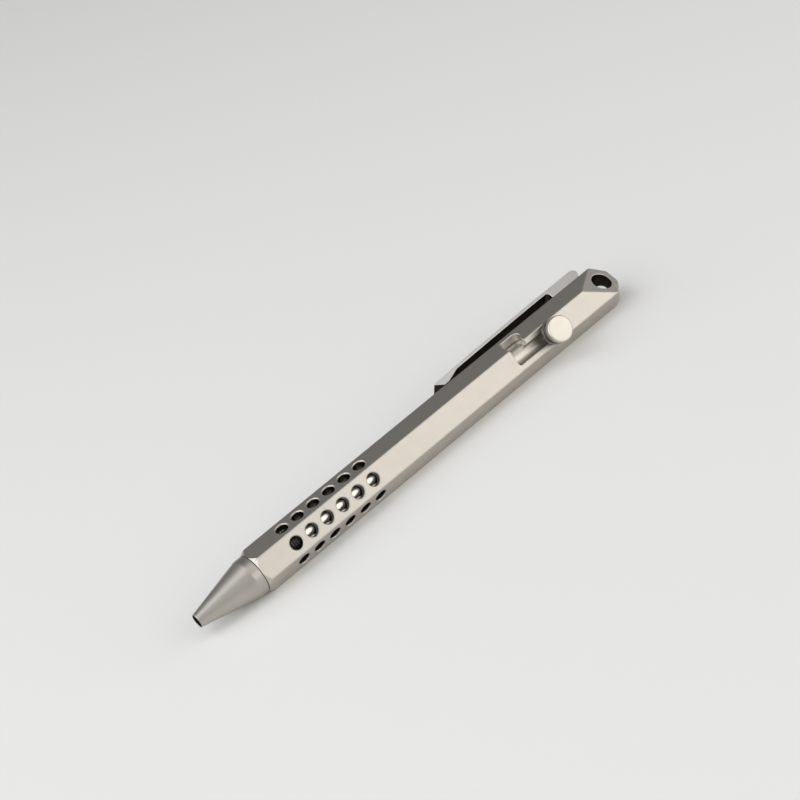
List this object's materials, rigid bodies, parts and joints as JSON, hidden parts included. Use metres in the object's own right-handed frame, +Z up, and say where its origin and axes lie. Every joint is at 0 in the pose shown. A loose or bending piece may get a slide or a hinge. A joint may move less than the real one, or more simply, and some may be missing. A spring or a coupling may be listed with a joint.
{
  "type": "bolt action pen",
  "caption": "Hexagonal metal ballpoint pen with a perforated grip, conical nose, pocket clip, side bolt in a J-shaped slot and a slanted tail with a lanyard hole.",
  "frame": {"origin": "on the flat that the pen rests on, under the middle of its length", "axes": "+X along the pen from the writing tip to the tail, +Z up through the flat with the bolt's lock notch, +Y towards the clip's side"},
  "size_m": [0.1412, 0.0196, 0.0137],
  "materials": {
    "titanium": "satin",
    "clip_titanium": "satin",
    "steel": "gloss",
    "nickel_silver": "gloss",
    "black_rubber": "matte",
    "black_plastic": "satin",
    "ink": "gloss"
  },
  "bodies": {
    "barrel": {"barrel": "titanium", "clip": "clip_titanium", "clip_screw_front": "steel", "clip_screw_rear": "steel"},
    "bolt": {"bolt_carrier": "titanium", "bolt_knob": "titanium"},
    "refill": {"refill_tube": "steel", "refill_point": "nickel_silver", "refill_ball": "steel", "refill_end_plug": "black_plastic", "refill_ink": "ink", "return_spring": "steel"},
    "nose_seal": {"nose_o_ring": "black_rubber"},
    "nose": {"nose_cone": "titanium"}
  },
  "joints": [
    {"name": "bolt_slide", "type": "slide", "parent": "barrel", "child": "bolt", "axis": [-1, 0, 0], "range_m": [0, 0.0107], "stiffness_N_per_m": 150, "springref_m": -0.005},
    {"name": "refill_slide", "type": "slide", "parent": "barrel", "child": "refill", "axis": [-1, 0, 0], "range_m": [0, 0.0107], "deforming": ["return_spring"]},
    {"name": "nose_advance", "type": "slide", "parent": "barrel", "child": "nose_seal", "axis": [-1, 0, 0], "range_m": [0, 0.0045]},
    {"name": "nose_turn", "type": "hinge", "parent": "nose_seal", "child": "nose", "pos_m": [-0.0525, 0, 0.00535], "axis": [-1, 0, 0], "range_deg": [0, 2160]}
  ],
  "couplings": [
    {"joint": "refill_slide", "follows": "bolt_slide", "ratio": 1},
    {"joint": "nose_turn", "follows": "nose_advance", "rad_per_m": 8377.6}
  ]
}
